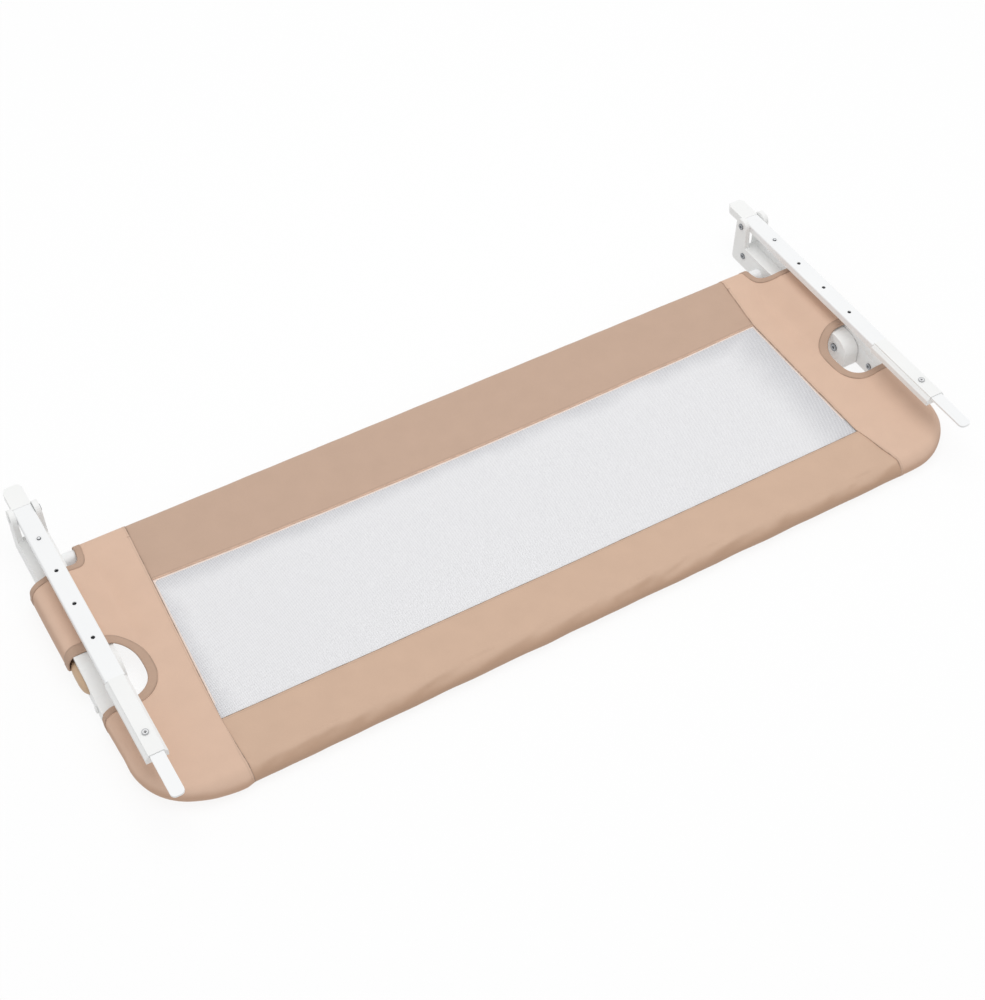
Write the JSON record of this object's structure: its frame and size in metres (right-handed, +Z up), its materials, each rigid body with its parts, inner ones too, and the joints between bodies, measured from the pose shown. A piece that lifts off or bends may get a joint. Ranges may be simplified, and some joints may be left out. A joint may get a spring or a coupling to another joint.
{
  "type": "folding bed guard rail",
  "caption": "Fabric bed guard rail folded flat: bent top tube, mesh window, hinged posts with release buttons, and telescopic legs that swing out to go under a mattress",
  "frame": {"origin": "the middle of the bounding box on the floor that the folded rail lies on", "axes": "+X along the rail to its right-hand end, +Y from the top rail towards the leg brackets, +Z up from the floor, which is the side that faces the bed"},
  "size_m": [1.192, 0.5246, 0.0785],
  "materials": {
    "white_steel": "white powder coat, satin",
    "white_plastic": "moulded white plastic, satin",
    "grey_steel": "zinc-plated steel",
    "dark_steel": "black phosphated steel",
    "tan_plastic": "moulded tan plastic, satin",
    "sand_cloth": "sand-coloured woven polyester",
    "taupe_cloth": "taupe woven polyester",
    "mesh_cloth": "fine pale grey net"
  },
  "bodies": {
    "lower_frame": {"cross_tube": "white_steel", "mesh_window_lower": "mesh_cloth", "cover_far_band": "taupe_cloth", "cover_hem_roll": "taupe_cloth", "cover_lower_left": "sand_cloth", "cover_lower_right": "sand_cloth", "side_sleeve_left": "sand_cloth", "side_sleeve_right": "sand_cloth", "lower_post_left": "white_steel", "lower_post_right": "white_steel", "bracket_inner_shell_left": "white_plastic", "bracket_inner_shell_right": "white_plastic", "bracket_outer_shell_left": "white_plastic", "bracket_outer_shell_right": "white_plastic", "bracket_screw_left": "grey_steel", "bracket_screw_right": "grey_steel", "leg_pivot_pin_left": "grey_steel", "leg_pivot_pin_right": "grey_steel", "hinge_base_left": "white_plastic", "hinge_base_right": "white_plastic", "hinge_pin_left": "grey_steel", "hinge_pin_right": "grey_steel", "release_spring_left": "grey_steel", "release_spring_right": "grey_steel"},
    "upper_frame": {"top_frame": "white_steel", "cover_top_roll": "sand_cloth", "cover_near_band": "sand_cloth", "mesh_window_upper": "mesh_cloth", "cover_upper_left": "sand_cloth", "cover_upper_right": "sand_cloth", "hinge_arm_left": "white_plastic", "hinge_arm_right": "white_plastic", "arm_bolt_left": "grey_steel", "arm_bolt_right": "grey_steel", "arm_nut_left": "white_plastic", "arm_nut_right": "white_plastic"},
    "leg_left": {"leg_tube_left": "white_steel", "leg_end_plug_left": "white_plastic"},
    "leg_slide_left": {"leg_slide_bar_left": "dark_steel", "leg_shoe_left": "white_plastic", "leg_tongue_left": "white_steel", "tongue_screw_left": "grey_steel"},
    "snap_left": {"snap_button_left": "white_plastic"},
    "release_left": {"release_button_left": "tan_plastic", "lock_ring_left": "grey_steel"},
    "leg_right": {"leg_tube_right": "white_steel", "leg_end_plug_right": "white_plastic"},
    "leg_slide_right": {"leg_slide_bar_right": "dark_steel", "leg_shoe_right": "white_plastic", "leg_tongue_right": "white_steel", "tongue_screw_right": "grey_steel"},
    "snap_right": {"snap_button_right": "white_plastic"},
    "release_right": {"release_button_right": "tan_plastic", "lock_ring_right": "grey_steel"}
  },
  "joints": [
    {"name": "upper_fold", "type": "hinge", "parent": "lower_frame", "child": "upper_frame", "pos_m": [0, -0.01975, 0.022], "axis": [1, 0, 0], "range_deg": [0, 90]},
    {"name": "leg_swing_left", "type": "hinge", "parent": "lower_frame", "child": "leg_left", "pos_m": [-0.56, 0.21475, 0.067], "axis": [-1, 0, 0], "range_deg": [0, 90]},
    {"name": "leg_extend_left", "type": "slide", "parent": "leg_left", "child": "leg_slide_left", "axis": [0, -1, 0], "range_m": [0, 0.1746], "deforming": ["snap_button_left"]},
    {"name": "snap_press_left", "type": "slide", "parent": "leg_slide_left", "child": "snap_left", "axis": [0, 0, -1], "range_m": [0, 0.003], "stiffness_N_per_m": 800, "springref_m": -0.001},
    {"name": "release_press_left", "type": "slide", "parent": "upper_frame", "child": "release_left", "axis": [1, 0, 0], "range_m": [0, 0.0045], "stiffness_N_per_m": 1500, "springref_m": -0.002, "deforming": ["release_spring_left"]},
    {"name": "leg_swing_right", "type": "hinge", "parent": "lower_frame", "child": "leg_right", "pos_m": [0.56, 0.21475, 0.067], "axis": [-1, 0, 0], "range_deg": [0, 90]},
    {"name": "leg_extend_right", "type": "slide", "parent": "leg_right", "child": "leg_slide_right", "axis": [0, -1, 0], "range_m": [0, 0.1746], "deforming": ["snap_button_right"]},
    {"name": "snap_press_right", "type": "slide", "parent": "leg_slide_right", "child": "snap_right", "axis": [0, 0, -1], "range_m": [0, 0.003], "stiffness_N_per_m": 800, "springref_m": -0.001},
    {"name": "release_press_right", "type": "slide", "parent": "upper_frame", "child": "release_right", "axis": [-1, 0, 0], "range_m": [0, 0.0045], "stiffness_N_per_m": 1500, "springref_m": -0.002, "deforming": ["release_spring_right"]}
  ]
}
